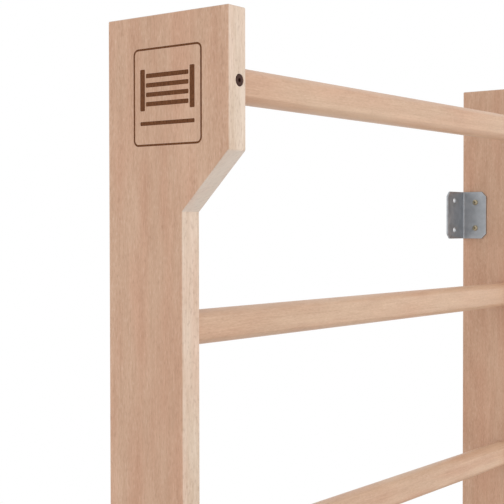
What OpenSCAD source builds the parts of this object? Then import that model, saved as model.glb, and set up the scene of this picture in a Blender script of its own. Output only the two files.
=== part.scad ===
// Wall bars: two beech uprights with a forward-stepped head, eight flatted round rungs,
// lock bolts, tenon screws and six steel wall brackets.
// X runs along the rungs, -Y is the climber's side, +Y is the wall, the floor is Z = 0.

/* [Frame] */
// Width over both uprights
overall_w = 900; // [700:10:1100]
// Height over the uprights
overall_h = 2300; // [2260:10:2400]
// Thickness of each upright
board_t = 30; // [28:1:36]
// Depth of an upright below the head
body_d = 110; // [105:1:120]
// Depth of the stepped-forward head
head_d = 175; // [165:1:190]
// Height of the straight front edge of the head
head_h = 152; // [130:1:180]
// Chamfer that breaks the long edges
edge_break = 1.5; // [0.5:0.5:2.5]

/* [Rungs] */
// Height from one rung to the next
rung_pitch = 270; // [250:5:275]
// Height of a rung, the diameter of the round it is turned to
rung_d = 40; // [38:1:44]
// Thickness of a rung over its two flats
rung_flat = 32; // [30:1:36]
// Distance from the top of the uprights to the middle of the top rung
top_rung_drop = 78; // [70:1:90]
// Distance from the front edge to the middle of a rung
rung_setback = 35; // [32:1:40]
// Diameter of the round tenon on each rung end
tenon_d = 28; // [24:1:28]
// Length of a tenon
tenon_l = 20; // [18:1:22]

/* [Fasteners] */
// Diameter of the flat head of a lock bolt
bolt_head_d = 13; // [12:1:16]
// Thickness of the flat head of a lock bolt
bolt_head_t = 3; // [2.5:0.5:4]
// Thread diameter of a lock bolt
bolt_d = 6; // [5:1:8]
// Distance from the inner face of the upright to the lock bolts and tenon screws
bolt_inset = 11; // [10:1:12]
// Diameter of a barrel nut
barrel_d = 10; // [10:1:12]
// Length of a barrel nut
barrel_l = 16; // [14:1:16]
// Length of a tenon screw, which comes in from the back edge
tenon_screw_l = 80; // [76:1:86]
// Shank diameter of the wood screws
wood_screw_d = 4.5; // [4:0.5:5]
// Length of the screws that hold a bracket, under the head
bracket_screw_l = 25; // [20:1:27]

/* [Wall brackets] */
// Height of a bracket
bracket_h = 80; // [76:2:110]
// Length of the leg that lies on the wall
wall_leg = 60; // [56:1:80]
// Length of the leg that lies on the inner face of the upright
side_leg = 45; // [40:1:50]
// Thickness of the steel
steel_t = 3; // [2:0.5:4]
// Diameter of a wall hole
wall_hole_d = 8.5; // [6.5:0.5:10.5]
// Height between the two wall holes of a bracket
wall_hole_rise = 50; // [40:2:56]
// Distance from the inner face of the upright to the wall holes
wall_hole_inset = 36; // [34:1:42]

/* [Hidden] */
$fn = 64;
clearance = 0.1;
bolt_clearance = 0.2;
tenon_end_gap = 0.5;
cut = 1;

rung_count = 8;

outer_x = overall_w / 2;
inner_x = outer_x - board_t;
front_y = -head_d / 2;
back_y = head_d / 2;
body_front_y = back_y - body_d;
neck_drop = head_d - body_d;
head_overlap = 30;

bolt_x = inner_x + bolt_inset;
barrel_setback = 12;
bolt_past_barrel = 2;
hex_af = 4;
socket_depth = 2.2;
slot_w = 1.4;
slot_depth = 1.5;
recess_w = 1;
recess_l = 4.4;
recess_depth = 1.8;

locked_rungs = [1, 5, 8];
screwed_rungs = [2, 3, 4, 6, 7];
bracket_under = [1, 4, 8];

bend_r = 5;
bend_steps = 6;
corner_clip = 8;
side_hole_d = 5.5;
side_hole_rise = 44;
side_hole_back = 25;
pan_d = 9.5;
pan_top_d = 6.5;
pan_flat_t = 1.8;
pan_dome_t = 1;
countersunk_d = 9;
countersunk_t = 2.5;

function rung_z(i) = overall_h - top_rung_drop - (i - 1) * rung_pitch;
function edge_y(i) = i == 1 ? front_y : body_front_y;
function rung_y(i) = edge_y(i) + rung_setback;
function barrel_y(i) = rung_y(i) + tenon_d / 2 + barrel_setback;
function bolt_end_y(i) = barrel_y(i) + barrel_d / 2 + bolt_past_barrel;
function bracket_z(i) = rung_z(i) - rung_pitch / 2;

upright_colour = "#c9a98c";
rung_colour = "#d9b697";
bolt_colour = "#4b3530";
steel_colour = "#b9bcc0";
screw_colour = "#a9a18e";

// Everything drawn for the right-hand side is mirrored to the left by side = -1.
module on_side(side) {
    mirror([side < 0 ? 1 : 0, 0, 0]) children();
}

// A rod along Y from y0 to y1.
module rod_y(d, y0, y1) {
    translate([0, y0, 0]) rotate([-90, 0, 0]) cylinder(d = d, h = y1 - y0);
}

// A rod along X from x0 to x1.
module rod_x(d, x0, x1) {
    translate([x0, 0, 0]) rotate([0, 90, 0]) cylinder(d = d, h = x1 - x0);
}

// ---- uprights ----

// A board cut to an outline in Y and Z, standing between the inner and outer faces.
module board(outline) {
    translate([inner_x, 0, 0]) rotate([90, 0, 90]) linear_extrude(board_t) polygon(outline);
}

// Square bars that break the two edges of a board along a line through [y, z].
module edge_bars(y, z, tilt) {
    side = edge_break * sqrt(2);
    for (x = [inner_x, outer_x])
        translate([x, y, z]) rotate([tilt, 0, 0]) rotate([0, 0, 45])
            cube([side, side, 3 * overall_h], center = true);
}

module upright_body() {
    difference() {
        board([[body_front_y, 0], [back_y, 0], [back_y, overall_h], [body_front_y, overall_h]]);
        edge_bars(body_front_y, 0, 0);
        edge_bars(back_y, 0, 0);
        edge_bars(0, overall_h, 90);
        edge_bars(0, 0, 90);
    }
}

// The head steps forward over a 45 degree slope.
module upright_head() {
    root_y = body_front_y + head_overlap;
    shoulder_z = overall_h - head_h;
    difference() {
        board([
            [front_y, overall_h], [front_y, shoulder_z],
            [root_y, shoulder_z - neck_drop - head_overlap], [root_y, overall_h]
        ]);
        edge_bars(front_y, 0, 0);
        edge_bars(front_y, shoulder_z, 45);
        edge_bars(0, overall_h, 90);
    }
}

// Blind round mortise for a rung tenon.
module mortise(i) {
    mortise_end = inner_x + tenon_l + tenon_end_gap;
    translate([0, rung_y(i), rung_z(i)]) rod_x(tenon_d, inner_x - cut, mortise_end);
}

// Flush seat and clearance hole for a lock bolt, and the blind hole for its barrel nut.
module lock_bolt_holes(i) {
    barrel_depth = bolt_inset + barrel_l / 2;
    translate([bolt_x, 0, rung_z(i)]) {
        rod_y(bolt_head_d + 2 * bolt_clearance, edge_y(i) - cut, edge_y(i) + bolt_head_t);
        rod_y(bolt_d + 2 * bolt_clearance, edge_y(i), bolt_end_y(i) + cut);
    }
    translate([0, barrel_y(i), rung_z(i)])
        rod_x(barrel_d + 2 * clearance, inner_x - cut, inner_x + barrel_depth);
}

// Countersunk screw that comes in from the back edge, or with a gap, the hole for it.
module tenon_screw_shape(i, gap) {
    translate([bolt_x, back_y, rung_z(i)]) rotate([90, 0, 0]) {
        cylinder(d1 = countersunk_d + 2 * gap, d2 = wood_screw_d + 2 * gap, h = countersunk_t);
        cylinder(d = wood_screw_d + 2 * gap, h = tenon_screw_l + gap);
    }
}

// Holes for the two screws that hold a bracket.
module bracket_pilot_holes(i) {
    hole_end = inner_x - steel_t + bracket_screw_l + cut;
    for (rise = [-0.5, 0.5])
        translate([0, back_y - side_hole_back, bracket_z(i) + rise * side_hole_rise])
            rod_x(wood_screw_d + 2 * clearance, inner_x - cut, hole_end);
}

// Head and body in one board, with every mortise and hole.
module upright(side) {
    color(upright_colour) on_side(side) difference() {
        union() {
            upright_body();
            upright_head();
        }
        for (i = [1:rung_count]) mortise(i);
        for (i = locked_rungs) lock_bolt_holes(i);
        for (i = screwed_rungs) tenon_screw_shape(i, clearance);
        for (i = bracket_under) bracket_pilot_holes(i);
    }
}

// ---- rungs ----

// A turned bar with two flats and a tenon on each end, drilled for its bolts or screws.
module rung(i) {
    tenon_reach = inner_x + tenon_l;
    locked = len(search(i, locked_rungs)) > 0;
    color(rung_colour) difference() {
        translate([0, rung_y(i), rung_z(i)]) union() {
            intersection() {
                rod_x(rung_d, -inner_x, inner_x);
                cube([2 * inner_x, rung_flat, rung_d + cut], center = true);
            }
            rod_x(tenon_d - 2 * clearance, -tenon_reach, tenon_reach);
        }
        for (side = [-1, 1]) on_side(side) {
            if (locked)
                translate([bolt_x, 0, rung_z(i)])
                    rod_y(bolt_d + 2 * bolt_clearance, edge_y(i), barrel_y(i));
            else
                tenon_screw_shape(i, clearance);
        }
    }
}

// ---- fasteners ----

// Flat-headed bolt with a hexagon socket, flush in the front edge.
module lock_bolt(i) {
    translate([bolt_x, 0, rung_z(i)]) difference() {
        union() {
            rod_y(bolt_head_d, edge_y(i), edge_y(i) + bolt_head_t);
            rod_y(bolt_d, edge_y(i) + bolt_head_t / 2, bolt_end_y(i));
        }
        translate([0, edge_y(i) - cut, 0]) rotate([-90, 0, 0])
            cylinder(d = hex_af / cos(30), h = socket_depth + cut, $fn = 6);
    }
}

module lock_bolts() {
    color(bolt_colour) for (side = [-1, 1], i = locked_rungs) on_side(side) lock_bolt(i);
}

// Round nut lying in the upright behind the tenon, with a driver slot in its open end.
module barrel_nut(i) {
    open_end_x = bolt_x - barrel_l / 2;
    translate([0, barrel_y(i), rung_z(i)]) difference() {
        rod_x(barrel_d, open_end_x, open_end_x + barrel_l);
        translate([bolt_x, 0, 0]) rod_y(bolt_d + 2 * clearance, -barrel_d, barrel_d);
        translate([open_end_x, 0, 0])
            cube([2 * slot_depth, barrel_d + cut, slot_w], center = true);
    }
}

module barrel_nuts() {
    color(screw_colour) for (side = [-1, 1], i = locked_rungs) on_side(side) barrel_nut(i);
}

// Two crossed slots, cut downwards from the origin.
module cross_recess() {
    for (turn = [0, 90])
        rotate([0, 0, turn]) cube([recess_l, recess_w, 2 * recess_depth], center = true);
}

module tenon_screws() {
    color(screw_colour) for (side = [-1, 1], i = screwed_rungs) on_side(side) difference() {
        tenon_screw_shape(i, 0);
        translate([bolt_x, back_y, rung_z(i)]) rotate([90, 0, 0]) cross_recess();
    }
}

// Pan-headed wood screw along +X, its head on the steel of a bracket.
module bracket_screw() {
    pan_t = pan_flat_t + pan_dome_t;
    rotate([0, 90, 0]) difference() {
        union() {
            translate([0, 0, -pan_flat_t]) cylinder(d = pan_d, h = pan_flat_t);
            translate([0, 0, -pan_t]) cylinder(d1 = pan_top_d, d2 = pan_d, h = pan_dome_t);
            translate([0, 0, -cut]) cylinder(d = wood_screw_d, h = bracket_screw_l + cut);
        }
        translate([0, 0, -pan_t]) cross_recess();
    }
}

module bracket_screws() {
    color(screw_colour)
        for (side = [-1, 1], i = bracket_under, rise = [-0.5, 0.5])
            on_side(side)
                translate([
                    inner_x - steel_t, back_y - side_hole_back,
                    bracket_z(i) + rise * side_hole_rise
                ])
                    bracket_screw();
}

// ---- wall brackets ----

// Arc of points about [x, y], from one angle to another.
function arc(x, y, r, from, to) = [
    for (k = [0:bend_steps])
        let (a = from + (to - from) * k / bend_steps) [x + r * cos(a), y + r * sin(a)]
];

// Cross-section of the bent steel in X and Y, the side leg on the inner face of the upright.
module angle_section() {
    bend_x = inner_x - bend_r;
    bend_y = back_y - bend_r;
    polygon(concat(
        [[inner_x - wall_leg, back_y]],
        [[inner_x - wall_leg, back_y - steel_t]],
        arc(bend_x, bend_y, bend_r - steel_t, 90, 0),
        [[inner_x - steel_t, back_y - side_leg]],
        [[inner_x, back_y - side_leg]],
        arc(bend_x, bend_y, bend_r, 0, 90)
    ));
}

// Outline of a leg with its two free corners clipped, from 0 to reach.
module clipped_leg(reach) {
    half = bracket_h / 2;
    polygon([
        [-cut, -half], [reach - corner_clip, -half], [reach, corner_clip - half],
        [reach, half - corner_clip], [reach - corner_clip, half], [-cut, half]
    ]);
}

// A steel angle with two holes in each leg, halfway between rung i and the next.
module bracket(i, side) {
    color(steel_colour) on_side(side) translate([0, 0, bracket_z(i)]) difference() {
        intersection() {
            translate([0, 0, -bracket_h / 2]) linear_extrude(bracket_h) angle_section();
            translate([inner_x, back_y + cut, 0]) rotate([90, 0, 0]) mirror([1, 0, 0])
                linear_extrude(side_leg + 2 * cut) clipped_leg(wall_leg);
            translate([inner_x + cut, back_y, 0]) rotate([0, -90, 0]) rotate([0, 0, -90])
                linear_extrude(wall_leg + 2 * cut) clipped_leg(side_leg);
        }
        for (rise = [-0.5, 0.5]) {
            translate([inner_x - wall_hole_inset, 0, rise * wall_hole_rise])
                rod_y(wall_hole_d, back_y - steel_t - cut, back_y + cut);
            translate([0, back_y - side_hole_back, rise * side_hole_rise])
                rod_x(side_hole_d, inner_x - steel_t - cut, inner_x + cut);
        }
    }
}

upright(-1);  // left_upright
upright(1);  // right_upright
rung(1);  // rung_1
rung(2);  // rung_2
rung(3);  // rung_3
rung(4);  // rung_4
rung(5);  // rung_5
rung(6);  // rung_6
rung(7);  // rung_7
rung(8);  // rung_8
lock_bolts();
barrel_nuts();
tenon_screws();
bracket(bracket_under[0], -1);  // bracket_top_left
bracket(bracket_under[0], 1);  // bracket_top_right
bracket(bracket_under[1], -1);  // bracket_middle_left
bracket(bracket_under[1], 1);  // bracket_middle_right
bracket(bracket_under[2], -1);  // bracket_bottom_left
bracket(bracket_under[2], 1);  // bracket_bottom_right
bracket_screws();
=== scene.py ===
from math import radians

import bpy
import numpy as np
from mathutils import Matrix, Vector


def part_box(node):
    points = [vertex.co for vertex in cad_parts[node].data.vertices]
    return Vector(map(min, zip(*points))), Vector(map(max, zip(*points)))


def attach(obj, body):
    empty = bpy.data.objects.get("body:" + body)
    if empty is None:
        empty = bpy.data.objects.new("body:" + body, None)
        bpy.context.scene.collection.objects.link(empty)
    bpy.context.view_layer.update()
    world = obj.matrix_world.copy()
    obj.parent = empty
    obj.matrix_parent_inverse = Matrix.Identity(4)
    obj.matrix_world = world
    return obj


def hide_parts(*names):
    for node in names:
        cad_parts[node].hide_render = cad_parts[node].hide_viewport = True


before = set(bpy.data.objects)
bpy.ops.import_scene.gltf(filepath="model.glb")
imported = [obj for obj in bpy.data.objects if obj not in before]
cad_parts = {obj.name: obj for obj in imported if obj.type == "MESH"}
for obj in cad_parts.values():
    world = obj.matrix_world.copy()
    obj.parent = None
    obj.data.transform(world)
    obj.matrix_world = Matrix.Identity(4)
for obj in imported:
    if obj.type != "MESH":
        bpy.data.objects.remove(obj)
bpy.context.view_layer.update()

MM = 0.001

# ---- places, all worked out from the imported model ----

left_low, left_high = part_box("left_upright")
right_low, right_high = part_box("right_upright")
RUNGS = range(1, 9)
rung_boxes = {number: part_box(f"rung_{number}") for number in RUNGS}
floor_z = left_low.z
top_z = left_high.z
head_front = left_low.y
wall_y = left_high.y
outer_x = right_high.x
inner_x = right_low.x

# The head stands in front of the body by a step, over a 45 degree slope, and above the slope
# its front edge is straight. Bolts and tenon screws sit a little outside the inner face.
HEAD_STEP = 65 * MM
HEAD_HIGH = 152 * MM
BOLT_OUT = 11 * MM
body_front = head_front + HEAD_STEP
shoulder_z = top_z - HEAD_HIGH
neck_z = shoulder_z - HEAD_STEP
bolt_x = inner_x + BOLT_OUT
LOCKED = (1, 5, 8)
SCREWED = (2, 3, 4, 6, 7)


def rung_centre(number):
    """Y and Z of the middle line of a rung, the first being the top one."""
    low, high = rung_boxes[number]
    return (low.y + high.y) / 2, (low.z + high.z) / 2


def edge_y(number):
    """Y of the front edge that a rung sits behind: the head's or the body's."""
    return head_front if number == 1 else body_front


# ---- meshes ----


def make_object(name, mesh):
    """Puts a finished mesh in the scene as an object at the origin."""
    piece = bpy.data.objects.new(name, mesh)
    bpy.context.scene.collection.objects.link(piece)
    return piece


def skin(rings, closed=False):
    """Faces over rings of points, an array of shape (rings, points, 3): points, quads, caps.

    A quad joins points j and j + 1 of rings i and i + 1, and the last point of a ring meets
    its first. closed joins the last ring to the first; otherwise a flat cap shuts each end.
    Rings run anticlockwise about the way they advance, so the faces point outwards.
    """
    count, around = rings.shape[:2]
    i, j = np.meshgrid(np.arange(count if closed else count - 1), np.arange(around),
                       indexing="ij")
    i_next, j_next = (i + 1) % count, (j + 1) % around
    quads = np.stack([i * around + j, i * around + j_next,
                      i_next * around + j_next, i_next * around + j], axis=-1)
    loop = np.arange(around)
    caps = [] if closed else [loop[::-1], loop + (count - 1) * around]
    return rings.reshape(-1, 3), quads.reshape(-1, 4), caps


def joined(name, skins, sharp=40):
    """One mesh from several skins, smooth but for edges that turn more than sharp degrees."""
    faces, start = [], 0
    for points, quads, caps in skins:
        faces += (quads + start).tolist() + [(cap + start).tolist() for cap in caps]
        start += len(points)
    mesh = bpy.data.meshes.new(name)
    mesh.from_pydata(np.concatenate([points for points, quads, caps in skins]), [], faces)
    soften(mesh, sharp)
    return mesh


def soften(mesh, sharp=40):
    """Smooth shading, broken only where two faces meet at more than sharp degrees."""
    mesh.polygons.foreach_set("use_smooth", np.ones(len(mesh.polygons), dtype=bool))
    mesh.set_sharp_from_angle(angle=radians(sharp))
    mesh.update()


def turned(profile, start, toward, sides=48):
    """Skin of a turned shape: circles of a radius at a distance from start along toward.

    profile lists (distance, radius); a radius may also be an array with one value for each
    of the sides, for a socket or a slot. Point = start + distance * toward
    + radius * (cos a * u + sin a * v), with u, v and toward at right angles.
    """
    w = np.array(toward, float)
    u = np.roll(w, 1) * np.sum(w)
    v = np.cross(w, u)
    angle = np.arange(sides) * 2 * np.pi / sides
    distance = np.array([d for d, r in profile])[:, None, None]
    radius = np.stack([np.broadcast_to(r, sides) for d, r in profile])[:, :, None]
    spoke = np.cos(angle)[:, None] * u + np.sin(angle)[:, None] * v
    return skin(np.array(start) + distance * w + radius * spoke[None])


def cut_away(piece, skins):
    """Cuts closed shapes out of a piece, which keeps the result as its own mesh."""
    cutter = make_object("cutter", joined("cutter", skins))
    tool = piece.modifiers.new("bore", "BOOLEAN")
    tool.operation, tool.solver, tool.object = "DIFFERENCE", "EXACT", cutter
    graph = bpy.context.evaluated_depsgraph_get()
    carved = bpy.data.meshes.new_from_object(piece.evaluated_get(graph))
    piece.modifiers.remove(tool)
    bpy.data.objects.remove(cutter)
    piece.data = carved
    carved.name = piece.name
    soften(carved)


# ---- uprights ----

ARRIS = 2.0 * MM
END_ROUND = 1.4 * MM
SUPPORT = 0.01


def front_line(z):
    """Y of the front edge at height z: the body's, then one forward for one up, then the head's.

    Each bend is a short parabola, tight in the hollow corner and wider on the outer one.
    """
    def ramp(t, w):
        return np.where(t < -w, 0, np.where(t > w, t, (t + w) ** 2 / (4 * w)))
    return body_front - ramp(z - neck_z, 0.5 * MM) + ramp(z - shoulder_z, 1.5 * MM)


def upright_section():
    """Once round a horizontal section of a board, as arrays side, depth and turn.

    side is -1 to 1 across the thickness, depth 0 to 1 from front to back, and turn is the
    direction that the surface faces. Quarter circles turn the four arrises, and lines close
    to their ends keep the wide faces flat.
    """
    corners = np.array([(1, 0), (1, 1), (-1, 1), (-1, 0), (1, 0)], float)
    quarter = np.linspace(-90, 0, 6)
    rows = []
    for k in range(4):
        parts = [SUPPORT, 0.25, 0.5, 0.75, 1 - SUPPORT] if k % 2 == 0 else [0.08, 0.92]
        flat = corners[k] + np.array(parts)[:, None] * (corners[k + 1] - corners[k])
        rows += [(*corners[k], angle + 90 * k) for angle in quarter]
        rows += [(*place, 90 * k) for place in flat]
    side, depth, turn = np.array(rows).T
    return side, depth, np.radians(turn)


def upright_skin(middle_x):
    """A board carried up along Z: the section at each height, its front following front_line.

    Point = (middle_x + side * half + r cos turn, front + r + depth * (back - front - 2 r)
    + r sin turn, z). At both ends r shrinks along a quarter circle, which rounds the end.
    """
    side, depth, turn = upright_section()
    half = (outer_x - inner_x) / 2 - ARRIS
    bend = np.linspace(-3, 3, 13) * MM
    end = np.radians(np.linspace(0, 90, 5))
    lift, inset = END_ROUND * (1 - np.sin(end)), END_ROUND * (1 - np.cos(end))
    middle = np.concatenate([np.arange(0.03, neck_z - 0.01, 0.06), neck_z + bend,
                             [neck_z + 0.02, neck_z + 0.045], shoulder_z + bend,
                             np.arange(shoulder_z + 0.02, top_z - 0.01, 0.02)])
    z = np.concatenate([floor_z + lift[::-1], middle, top_z - lift])[:, None]
    inset = np.concatenate([inset[::-1], 0 * middle, inset])[:, None]
    front = front_line(z)
    x = middle_x + side * half + (ARRIS - inset) * np.cos(turn)
    y = front + ARRIS + depth * (wall_y - front - 2 * ARRIS) + (ARRIS - inset) * np.sin(turn)
    return skin(np.stack(np.broadcast_arrays(x, y, z), axis=-1))


# Radii and depths of the bores. A seat is as deep as a bolt's head is thick, a barrel hole is
# BARREL_BACK behind the rung's middle, and SINK is the depth of a countersink. A cutting shape
# begins OVER outside the surface when it has an eased rim, and CLEAR outside when straight.
MORTISE = 14 * MM
MORTISE_DEEP = 20.5 * MM
BOLT_SEAT = 6.7 * MM
HEAD_THICK = 3 * MM
BARREL_HOLE = 5.1 * MM
BARREL_DEEP = 19 * MM
BARREL_BACK = 26 * MM
SCREW_HOLE = 2.35 * MM
SCREW_DEEP = 40 * MM
SINK = 2.5 * MM
OVER = 2 * MM
CLEAR = 5 * MM


def eased_hole(radius, deep, ease):
    """Profile of a drilled hole with its rim broken at 45 degrees, begun outside the wood."""
    return [(-OVER, radius + ease + OVER), (ease, radius), (deep, radius)]


def bores(side):
    """Everything drilled into an upright: mortises, bolt seats, barrel holes, screw holes."""
    into = (side, 0, 0)
    mortise = [(-CLEAR, MORTISE), (MORTISE_DEEP, MORTISE)]
    screw_hole = [(-1 * MM, SCREW_HOLE + 3.25 * MM), (SINK, SCREW_HOLE),
                  (SCREW_DEEP, SCREW_HOLE)]
    shapes = []
    for number in RUNGS:
        y, z = rung_centre(number)
        shapes.append(turned(mortise, (side * inner_x, y, z), into, 64))
    for number in LOCKED:
        y, z = rung_centre(number)
        shapes.append(turned(eased_hole(BOLT_SEAT, HEAD_THICK, 0.3 * MM),
                             (side * bolt_x, edge_y(number), z), (0, 1, 0)))
        shapes.append(turned(eased_hole(BARREL_HOLE, BARREL_DEEP, 0.2 * MM),
                             (side * inner_x, y + BARREL_BACK, z), into))
    for number in SCREWED:
        z = rung_centre(number)[1]
        shapes.append(turned(screw_hole, (side * bolt_x, wall_y, z), (0, -1, 0)))
    return shapes


# ---- rungs ----

ROUND = 20 * MM
HALF_FLAT = 16 * MM
TENON = 13.9 * MM
tenon_end = rung_boxes[1][1].x


def rung_outline(angle):
    """Distance from a rung's axis to its skin: a circle of 40 mm with two flats 32 mm apart.

    The flats lie at 16 / |cos angle|, and a high power mean takes the smaller of the two
    distances with a soft crease between them, as sanding leaves it.
    """
    flat = HALF_FLAT / np.maximum(np.abs(np.cos(angle)), 0.05)
    soft = 60
    return (ROUND ** -soft + flat ** -soft) ** (-1 / soft)


def rung_skin(number):
    """The outline carried along X between the shoulders, and the round tenon past them."""
    y, z = rung_centre(number)
    angle = np.arange(144) * 2 * np.pi / 144
    outline = rung_outline(angle)
    tenon = np.full_like(outline, TENON)
    half = [(tenon_end, tenon - 1.2 * MM), (tenon_end - 1.2 * MM, tenon), (inner_x, tenon),
            (inner_x, outline - 0.4 * MM), (inner_x - 0.12 * MM, outline - 0.12 * MM),
            (inner_x - 0.4 * MM, outline), (inner_x - 2 * MM, outline)]
    inner = [(x, outline) for x in np.linspace(-inner_x + 0.03, inner_x - 0.03, 27)]
    stations = [(-x, r) for x, r in half] + inner + half[::-1]
    x = np.array([x for x, r in stations])[:, None]
    r = np.stack([r for x, r in stations])
    return skin(np.stack(np.broadcast_arrays(
        x, y + r * np.cos(angle), z + r * np.sin(angle)), axis=-1))


# ---- bolts and screws ----

# Heads and shanks by radius, recesses by width: SOCKET is the bolts' hexagon, and CROSS the
# cross in both kinds of screw, by the length and half the width of an arm.
BOLT_HEAD = 6.5 * MM
BOLT_SHANK = 3 * MM
BOLT_LONG = 65 * MM
SOCKET_WIDE = 4 * MM
SOCKET_DEEP = 2.2 * MM
SCREW_SHANK = 2.2 * MM
SCREW_SIDES = 64
SUNK_HEAD = 4.5 * MM
CROSS_ARM = 2.2 * MM
CROSS_WIDE = 0.5 * MM
CROSS_DEEP = 1.8 * MM
PAN_HEAD = 4.75 * MM


def hexagon(across_flats, sides):
    """Radius of a hexagon at each of the sides: half the flats over the cosine to the flat."""
    angle = np.arange(sides) * 2 * np.pi / sides
    return across_flats / 2 / np.cos(angle % (np.pi / 3) - np.pi / 6)


def cross(arm, width, sides):
    """Radius of a plus shape at each of the sides: the further of its two bars' outlines."""
    angle = np.arange(sides) * 2 * np.pi / sides
    c, s = np.abs(np.cos(angle)) + 1e-6, np.abs(np.sin(angle)) + 1e-6
    return np.maximum(np.minimum(arm / c, width / s), np.minimum(arm / s, width / c))


def lock_bolt(side, number):
    """Flat-headed bolt, turned from its tip outwards, with a softened rim and a hex socket.

    rim lists how far below the face and how far in from the side its corner runs.
    """
    z = rung_centre(number)[1]
    socket = hexagon(SOCKET_WIDE, 48)
    face = BOLT_LONG + HEAD_THICK - 0.15 * MM
    rim = [(0.6, 0), (0.25, 0.1), (0.07, 0.35), (0, 0.7), (0, 2.2)]
    profile = [(0, BOLT_SHANK - 0.8 * MM), (0.8 * MM, BOLT_SHANK), (BOLT_LONG, BOLT_SHANK),
               (BOLT_LONG, BOLT_HEAD - 0.2 * MM), (BOLT_LONG + 0.3 * MM, BOLT_HEAD)]
    profile += [(face - below * MM, BOLT_HEAD - inward * MM) for below, inward in rim]
    profile += [(face, socket + 0.35 * MM), (face - 0.25 * MM, socket),
                (face - SOCKET_DEEP, socket)]
    start = (side * bolt_x, edge_y(number) + BOLT_LONG + HEAD_THICK, z)
    return turned(profile, start, (0, -1, 0))


def tenon_screw(side, number):
    """Countersunk wood screw, turned from its point out to the back edge, cross recess."""
    z = rung_centre(number)[1]
    long = 80 * MM
    slot = cross(CROSS_ARM, CROSS_WIDE, SCREW_SIDES)
    worn = SUNK_HEAD - 0.1 * MM
    profile = [(0, 0.2 * MM), (6 * MM, SCREW_SHANK), (long - SINK, SCREW_SHANK),
               (long - 0.3 * MM, worn), (long - 0.1 * MM, SUNK_HEAD),
               (long - 0.05 * MM, worn), (long, 3.2 * MM), (long, slot + 0.12 * MM),
               (long - 0.12 * MM, slot), (long - CROSS_DEEP, slot * 0.5)]
    return turned(profile, (side * bolt_x, wall_y - long, z), (0, 1, 0), SCREW_SIDES)


def bracket_screw(side, y, z):
    """Pan-headed wood screw through the steel, its head a shallow dome with a cross recess."""
    long = 25 * MM
    slot = cross(CROSS_ARM, CROSS_WIDE, SCREW_SIDES)
    rim = long + 0.9 * MM
    crown = long + 2.75 * MM
    dome = np.radians(np.linspace(0, 75, 6))
    profile = [(0, 0.2 * MM), (5 * MM, SCREW_SHANK), (long, SCREW_SHANK),
               (long, PAN_HEAD - 0.05 * MM)]
    profile += [(rim + 1.8 * MM * np.sin(a), PAN_HEAD * np.cos(a) ** 0.6) for a in dome]
    profile += [(crown, slot + 0.1 * MM), (crown - 0.1 * MM, slot),
                (crown - CROSS_DEEP, slot * 0.5)]
    start = (side * (inner_x - STEEL + long), y, z)
    return turned(profile, start, (-side, 0, 0), SCREW_SIDES)


# ---- the mark burned into the left upright ----

MARK_LINE = 2.3 * MM
MARK_WIDE = 97 * MM
MARK_HIGH = 106 * MM
MARK_CORNER = 6 * MM
MARK_DEEP = 0.3 * MM
mark_y = head_front + 86 * MM
mark_z = top_z - 90 * MM


def rounded_box(y, z, wide, high, radius, steps=8):
    """Outline of a rectangle with quarter circles at its corners, anticlockwise about +X.

    Each corner's arc turns through 90 degrees about a centre that sits one radius in from
    both of its sides.
    """
    angle = np.radians((np.arange(4)[:, None] * 90 + np.linspace(0, 90, steps)).ravel())
    signs = np.repeat(np.array([(1, 1), (-1, 1), (-1, -1), (1, -1)]), steps, axis=0)
    middle = np.array([y, z]) + signs * (np.array([wide, high]) / 2 - radius)
    return middle + radius * np.stack([np.cos(angle), np.sin(angle)], axis=-1)


def at_depth(outline, x):
    """Points of a flat outline, put at one X."""
    return np.concatenate([np.full((len(outline), 1), x), outline], axis=1)


def slab(outline, x_low, x_high):
    """Closed solid: the outline carried straight along X between two depths."""
    return skin(np.stack([at_depth(outline, x_low), at_depth(outline, x_high)]))


def border(x_low, x_high):
    """Rectangular section as wide as the line, carried round a rounded rectangle."""
    inner, outer = (rounded_box(mark_y, mark_z, MARK_WIDE + grow, MARK_HIGH + grow,
                                MARK_CORNER + grow / 2) for grow in (-MARK_LINE, MARK_LINE))
    section = [at_depth(inner, x_low), at_depth(inner, x_high),
               at_depth(outer, x_high), at_depth(outer, x_low)]
    return skin(np.stack(section, axis=1), closed=True)


def mark_shapes(x_low, x_high):
    """Border, a small ladder drawn like a stencil, and a plain bar under it."""
    ladder_z = mark_z + 8 * MM
    bars = [(end * 36 * MM, ladder_z, 7 * MM, 46 * MM) for end in (-1, 1)]
    bars += [(0, ladder_z + level * MM, 62 * MM, 5 * MM) for level in (-15.6, -5.2, 5.2, 15.6)]
    bars.append((0, mark_z - 29 * MM, 79 * MM, 4.4 * MM))
    return [border(x_low, x_high)] + [
        slab(rounded_box(mark_y + y, z, wide, high, 1.2 * MM), x_low, x_high)
        for y, z, wide, high in bars]


# ---- brackets ----

STEEL = 3 * MM
BEND = 5 * MM
CLIP = 8 * MM
WALL_LEG = 60 * MM
SIDE_LEG = 45 * MM
HALF_HIGH = 40 * MM
WALL_HOLE_OUT = 36 * MM
WALL_HOLE_RISE = 25 * MM
SIDE_HOLE_OUT = 25 * MM
SIDE_HOLE_RISE = 22 * MM
bracket_names = [f"bracket_{level}_{hand}" for level in ("top", "middle", "bottom")
                 for hand in ("left", "right")]


def bracket_middle(name):
    """Which side a bracket is on, -1 or 1, and the height of its middle."""
    low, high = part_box(name)
    return (-1 if low.x < 0 else 1), (low.z + high.z) / 2


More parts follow.
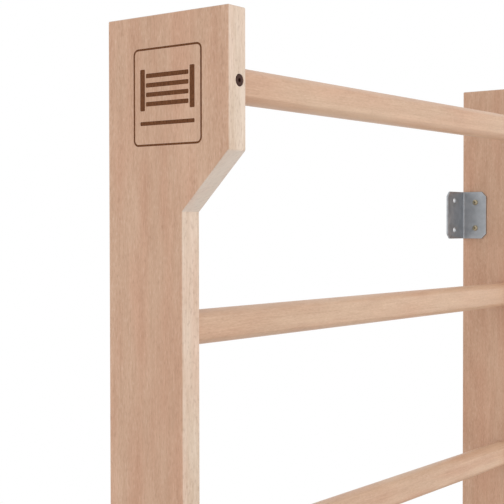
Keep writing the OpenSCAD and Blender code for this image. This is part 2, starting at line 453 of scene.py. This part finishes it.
def bracket_skin(name):
    """Bent steel angle: an L section with a round bend, carried up Z.

    In the section, u runs from the upright to the middle of the frame and v from the wall to
    the front. The outer bend has its full radius and the inner one the steel's thickness
    less. Close to each end both legs get shorter by as much as Z has moved on, which clips
    their corners.
    """
    side, middle = bracket_middle(name)
    inner_turn, outer_turn = np.radians([np.linspace(270, 180, 9), np.linspace(180, 270, 9)])
    tight = BEND - STEEL
    u = np.concatenate([[WALL_LEG, WALL_LEG], BEND + tight * np.cos(inner_turn), [STEEL, 0],
                        BEND + BEND * np.cos(outer_turn)])
    v = np.concatenate([[0, STEEL], BEND + tight * np.sin(inner_turn), [SIDE_LEG, SIDE_LEG],
                        BEND + BEND * np.sin(outer_turn)])
    z = np.array([-HALF_HIGH, CLIP - HALF_HIGH, HALF_HIGH - CLIP, HALF_HIGH])[:, None]
    short = np.maximum(np.abs(z) - (HALF_HIGH - CLIP), 0)
    u = u - short * (u == WALL_LEG)
    v = v - short * (v == SIDE_LEG)
    ring = np.stack(np.broadcast_arrays(side * (inner_x - u), wall_y - v, middle + z), axis=-1)
    return skin(ring[:, ::side])


def bracket_holes(name):
    """Two holes for wall bolts through one leg and two for wood screws through the other."""
    side, middle = bracket_middle(name)
    wall_hole, side_hole = ([(-CLEAR, r), (STEEL + CLEAR, r)] for r in (4.25 * MM, 2.75 * MM))
    return [turned(wall_hole, (side * (inner_x - WALL_HOLE_OUT), wall_y, middle + rise),
                   (0, -1, 0)) for rise in (-WALL_HOLE_RISE, WALL_HOLE_RISE)] + [
        turned(side_hole, (side * inner_x, wall_y - SIDE_HOLE_OUT, middle + rise),
               (-side, 0, 0)) for rise in (-SIDE_HOLE_RISE, SIDE_HOLE_RISE)]


# ---- finishes ----


def linear(hex_colour):
    """An sRGB hex colour as the linear RGBA that shaders use."""
    srgb = np.array([int(hex_colour[k:k + 2], 16) for k in (1, 3, 5)]) / 255
    line = np.where(srgb <= 0.04045, srgb / 12.92, ((srgb + 0.055) / 1.055) ** 2.4)
    return (*line.tolist(), 1.0)


def add(tree, kind, *values, out=0, **named):
    """Adds a node and returns its output, the first one unless out names or numbers another.

    values fill the node's sockets in order. A name that starts with a capital is a socket,
    with _ for a space, and any other is a setting. A value that is an output gets linked.
    """
    made = tree.nodes.new("ShaderNode" + kind)
    for name, value in named.items():
        if name[0].islower():
            setattr(made, name, value)
    filled = [(name.replace("_", " "), value) for name, value in named.items()
              if name[0].isupper()]
    for key, value in [*enumerate(values), *filled]:
        if isinstance(value, bpy.types.NodeSocket):
            tree.links.new(value, made.inputs[key])
        else:
            made.inputs[key].default_value = value
    return None if out is None else made.outputs[out]


def new_material(name):
    """An empty node material and its tree."""
    material = bpy.data.materials.new(name)
    material.use_nodes = True
    material.node_tree.nodes.clear()
    return material, material.node_tree


def per_mm(x, y, z):
    """Scale that makes one cell of a pattern x by y by z millimetres."""
    return (1 / (x * MM), 1 / (y * MM), 1 / (z * MM))


def beech(name, pith, along, seed, pale, dark, edge_share, ring_share, ray_share):
    """Steamed beech, planed and sanded along the grain under a thin satin lacquer.

    The log's pith runs through the given point along the grain, with a slight lean. A point
    is then told by its distance from the pith (radial), its arc about it and its place along
    the grain, so that a wide face, which lies across the rays, shows their ends as short
    brown dashes and streaks, an edge that lies along them shows soft flakes, and the growth
    rings are faint long bands. edge_share says how far narrow faces go to a paler palette,
    and faces turned up or down (the ends and the slope) to a paler grey, which is partly end
    grain's look and partly a painted reflection of the white surround; ring_share and
    ray_share say how strongly the rings and the rays show.
    """
    material, tree = new_material(name)
    lean = (radians(0.35), radians(90 if along == "X" else 0) - radians(0.3), 0)
    spot = add(tree, "TexCoord", out="Object")
    log = add(tree, "Mapping", spot, Location=pith, Rotation=lean, vector_type="TEXTURE")
    wander = add(tree, "VectorMath", log, per_mm(70, 70, 420), (seed, seed, seed),
                 operation="MULTIPLY_ADD")
    wander = add(tree, "TexNoise", Vector=wander, Scale=1.0, Detail=2.0)
    wander = add(tree, "Math", wander, 14 * MM, -7 * MM, operation="MULTIPLY_ADD")
    x, y, z = (add(tree, "SeparateXYZ", log, out=axis) for axis in "XYZ")
    x = add(tree, "Math", x, wander)
    radial = add(tree, "Math", add(tree, "Math", x, x, operation="MULTIPLY"),
                 add(tree, "Math", y, y, operation="MULTIPLY"))
    radial = add(tree, "Math", radial, operation="SQRT")
    arc = add(tree, "Math", y, x, operation="ARCTAN2")
    arc = add(tree, "Math", arc, 90 * MM, operation="MULTIPLY")
    grain = add(tree, "CombineXYZ", radial, arc, z)

    # Fibres are 0.02 mm thick and vessels 0.08 mm: drawn about 1 mm wide, or they don't show.
    # Rays are about 0.2 mm thick and 3 mm tall, and run 10 mm or more outwards.
    # Each row: millimetres outwards, round and along the grain, then detail and roughness.
    cells = {"board": (60, 70, 460, 1.0, 0.5), "mottle": (14, 14, 75, 3.0, 0.6),
             "rings": (2.4, 200, 1200, 2.0, 0.6), "streak": (2.4, 2.0, 38, 2.0, 0.5),
             "fibre": (0.9, 0.9, 11, 3.0, 0.7), "ray": (9, 1.0, 5.5, 1.0, 0.5),
             "rosy": (28, 28, 160, 1.0, 0.5)}
    wave = {}
    for kind, (radial_mm, arc_mm, along_mm, detail, rough) in cells.items():
        cell = add(tree, "VectorMath", grain, per_mm(radial_mm, arc_mm, along_mm),
                   (seed, seed * 2 + along_mm, seed * 3), operation="MULTIPLY_ADD")
        wave[kind] = add(tree, "TexNoise", Vector=cell, Scale=1.0, Detail=detail,
                         Roughness=rough)
    dark_ray = add(tree, "MapRange", wave["ray"], 0.56, 0.74, 0.0, ray_share)
    pale_ray = add(tree, "MapRange", wave["ray"], 0.44, 0.26, 0.0, ray_share)

    tone = add(tree, "Math", wave["board"], 0.7, 0.15, operation="MULTIPLY_ADD")
    for kind, share in (("mottle", 0.8), ("rings", ring_share), ("streak", 0.7), ("fibre", 0.9)):
        part = add(tree, "Math", wave[kind], share, -share / 2, operation="MULTIPLY_ADD")
        tone = add(tree, "Math", part, tone)
    colour = add(tree, "MixRGB", tone, linear(dark), linear(pale))

    facing = add(tree, "TexCoord", out="Normal")
    wide = add(tree, "Math", add(tree, "SeparateXYZ", facing, out="X"), operation="ABSOLUTE")
    narrow = add(tree, "MapRange", wide, 0.9, 0.3, 0.0, edge_share)
    edge_colour = add(tree, "MixRGB", tone, linear("#c0a68b"), linear("#e4d1c0"))
    colour = add(tree, "MixRGB", narrow, colour, edge_colour)
    # Faces turned up or down, the ends and the 45 degree slope, go to a paler grey: partly end
    # grain's look, partly a painted reflection of the white surround.
    end_grain_and_painted_reflection = add(tree, "Math", add(tree, "SeparateXYZ", facing, out="Z"), operation="ABSOLUTE")
    end_grain_and_painted_reflection = add(tree, "MapRange", end_grain_and_painted_reflection, 0.35, 0.7, 0.0, edge_share * 0.7)
    colour = add(tree, "MixRGB", end_grain_and_painted_reflection, colour, linear("#d0c5bb"))
    colour = add(tree, "MixRGB", dark_ray, colour, linear("#7d5238"))
    colour = add(tree, "MixRGB", pale_ray, colour, linear("#e9d2bf"))
    rosy = add(tree, "MapRange", wave["rosy"], 0.4, 0.7, 0.0, 0.4)
    colour = add(tree, "MixRGB", rosy, colour, linear("#f8dfd6"), blend_type="MULTIPLY")

    relief = add(tree, "Math", dark_ray, -2.5, wave["fibre"], operation="MULTIPLY_ADD")
    bump = add(tree, "Bump", Height=relief, Strength=0.3, Distance=0.12 * MM)
    satin = add(tree, "MapRange", wave["streak"], 0.3, 0.7, 0.42, 0.54)
    shader = add(tree, "BsdfPrincipled", colour, Roughness=satin, Normal=bump, IOR=1.5,
                 Coat_Weight=0.1, Coat_Roughness=0.35)
    add(tree, "OutputMaterial", shader, out=None)
    return material


def steel(name, colour, rough, metallic, cloud_mm, gloss=0.5):
    """Plated or oxidised steel, which soft clouds make a little more or less matt.

    metallic says how much bare metal the eye sees through the coat, and gloss how much the
    coat itself shines.
    """
    material, tree = new_material(name)
    spot = add(tree, "TexCoord", out="Object")
    cloud = add(tree, "TexNoise", Vector=spot, Scale=1 / (cloud_mm * MM), Detail=4.0)
    matt = add(tree, "MapRange", cloud, 0.3, 0.7, rough - 0.07, rough + 0.07)
    shade = add(tree, "MapRange", cloud, 0.35, 0.65, 0.82, 1.0)
    tint = add(tree, "MixRGB", 1.0, linear(colour), shade, blend_type="MULTIPLY")
    shader = add(tree, "BsdfPrincipled", tint, Metallic=metallic, Roughness=matt,
                 Specular_IOR_Level=gloss)
    add(tree, "OutputMaterial", shader, out=None)
    return material


def charred(name):
    """Beech scorched by a branding iron: matt dark brown, blotched where the iron bit less."""
    material, tree = new_material(name)
    spot = add(tree, "TexCoord", out="Object")
    grain = add(tree, "VectorMath", spot, per_mm(1.5, 1.3, 5), operation="MULTIPLY")
    bite = add(tree, "TexNoise", Vector=grain, Scale=1.0, Detail=3.0, Roughness=0.65)
    bite = add(tree, "MapRange", bite, 0.3, 0.7)
    colour = add(tree, "MixRGB", bite, linear("#522f19"), linear("#7a4d30"))
    bump = add(tree, "Bump", Height=bite, Strength=0.4, Distance=0.1 * MM)
    shader = add(tree, "BsdfPrincipled", colour, Roughness=0.75, Normal=bump, IOR=1.5,
                 Specular_IOR_Level=0.15)
    add(tree, "OutputMaterial", shader, out=None)
    return material


# ---- the pieces ----


def finish_piece(piece, material, slot, *nodes):
    """Gives a piece its finish, and puts it on the one body in place of its CAD nodes."""
    piece.data.materials.clear()
    piece.data.materials.append(material)
    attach(piece, "root")
    if nodes:
        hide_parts(*nodes)


for side, node, seed in ((-1, "left_upright", 6.3), (1, "right_upright", 4.1)):
    middle_x = side * (outer_x + inner_x) / 2
    board = make_object(f"{node}_board", joined(node, [upright_skin(middle_x)]))
    cuts = bores(side)
    if side < 0:
        cuts += mark_shapes(-outer_x - 1 * MM, -outer_x + MARK_DEEP)
    cut_away(board, cuts)
    wood = beech(f"beech board {node}", (middle_x + side * 0.085, 0.02, 0), "Z", seed,
                 "#d6b297", "#b98f72", 1.0, 0.35, 0.22)
    finish_piece(board, wood, "upright_beech", node)

mark = make_object("burned_mark", joined("burned_mark", mark_shapes(
    -outer_x + 0.12 * MM, -outer_x + MARK_DEEP)))
finish_piece(mark, charred("charred beech"), "upright_beech")

for number in RUNGS:
    node = f"rung_{number}"
    y, z = rung_centre(number)
    rung = make_object(f"{node}_bar", joined(node, [rung_skin(number)], sharp=60))
    pith = (0, y + (-1) ** number * 0.05, z - 0.06)
    wood = beech(f"beech bar {node}", pith, "X", 1.7 * number, "#d6b69a", "#ba967a",
                 0.0, 0.6, 0.12)
    finish_piece(rung, wood, "rung_beech", node)

# The oxide is a dull dark brown. Both zincs are blurred mirrors, yellowish on the screws, and
# colder with larger clouds on the sheet steel.
bronze = steel("bronze-brown oxide on steel", "#42261d", 0.5, 0.1, 3, gloss=0.2)
zinc = steel("yellow zinc plate on steel", "#b9ad92", 0.36, 1.0, 2)
sheet_steel = steel("zinc-plated sheet steel", "#b4b7bb", 0.4, 1.0, 9)

bolts = [lock_bolt(side, number) for side in (-1, 1) for number in LOCKED]
finish_piece(make_object("lock_bolt_set", joined("lock_bolts", bolts, 30)), bronze,
             "bronzed_steel", "lock_bolts")
screws = [tenon_screw(side, number) for side in (-1, 1) for number in SCREWED]
finish_piece(make_object("tenon_screw_set", joined("tenon_screws", screws, 30)), zinc,
             "zinc_steel", "tenon_screws")

pan_heads = []
for name in bracket_names:
    angle = make_object(f"{name}_angle", joined(name, [bracket_skin(name)]))
    cut_away(angle, bracket_holes(name))
    eased = angle.modifiers.new("eased edges", "BEVEL")
    eased.width, eased.segments, eased.angle_limit = 0.35 * MM, 2, radians(40)
    finish_piece(angle, sheet_steel, "bracket_steel", name)
    side, middle = bracket_middle(name)
    pan_heads += [bracket_screw(side, wall_y - SIDE_HOLE_OUT, middle + rise)
                  for rise in (-SIDE_HOLE_RISE, SIDE_HOLE_RISE)]
finish_piece(make_object("bracket_screw_set", joined("bracket_screws", pan_heads, 30)), zinc,
             "zinc_steel", "bracket_screws")

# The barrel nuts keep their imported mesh, deep in their holes.
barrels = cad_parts["barrel_nuts"]
barrels.data.materials.clear()
barrels.data.materials.append(zinc)

# ---- camera, light and floor ----

FLOOR_RADIUS = 6.0

# The camera stands in front and to the left of the left head, a little below its top.
camera_data = bpy.data.cameras.new("camera")
camera = bpy.data.objects.new("camera", camera_data)
bpy.context.scene.collection.objects.link(camera)
camera_data.sensor_width = 36.0
camera_data.lens = 82.74
camera.location = (-outer_x - 0.9491, head_front - 0.7584, top_z - 0.2348)
camera.rotation_euler = (radians(90 - 1.177), radians(0.079), radians(37.477 - 90))
bpy.context.scene.camera = camera


def soft_light(name, place, target, size, power):
    """A square softbox at a place, turned to a target, of a size in metres and watts."""
    data = bpy.data.lights.new(name, "AREA")
    data.shape, data.size, data.energy = "SQUARE", size, power
    lamp = bpy.data.objects.new(name, data)
    lamp.location = place
    lamp.rotation_euler = (Vector(target) - Vector(place)).to_track_quat("-Z", "Y").to_euler()
    bpy.context.scene.collection.objects.link(lamp)


soft_light("key", (1.0, -3.4, 3.2), (0, 0, 1.9), 1.6, 26)


def studio(name, overhead):
    """White all round at eye level, dimming a little to the given strength overhead."""
    world = bpy.data.worlds.new(name)
    world.use_nodes = True
    tree = world.node_tree
    tree.nodes.clear()
    up = add(tree, "SeparateXYZ", add(tree, "TexCoord", out="Generated"), out="Z")
    dim = add(tree, "MapRange", up, 0.35, 0.95, 1.0, overhead, interpolation_type="SMOOTHSTEP")
    add(tree, "OutputWorld", add(tree, "Background", linear("#ffffff"), dim), out=None)
    return world


bpy.context.scene.world = studio("white studio", 0.88)
bpy.context.scene.view_settings.view_transform = "Standard"


def pale_floor(name, inner, outer):
    """Matt studio floor, pale grey by the object and as white as the surround from outer on."""
    material, tree = new_material(name)
    spot = add(tree, "TexCoord", out="Object")
    away = add(tree, "VectorMath", spot, operation="LENGTH", out="Value")
    away = add(tree, "MapRange", away, inner, outer, interpolation_type="SMOOTHSTEP")
    near = add(tree, "BsdfPrincipled", linear("#e4e2df"), Roughness=0.8)
    far = add(tree, "Emission", linear("#ffffff"), 1.0)
    add(tree, "OutputMaterial", add(tree, "MixShader", away, near, far), out=None)
    return material


disc = turned([(0, FLOOR_RADIUS), (0.01, FLOOR_RADIUS)], (0, 0, floor_z - 0.0101), (0, 0, 1), 96)
floor = make_object("floor", joined("floor", [disc]))
floor.data.materials.append(pale_floor("matt pale floor", 1.5, FLOOR_RADIUS - 0.5))
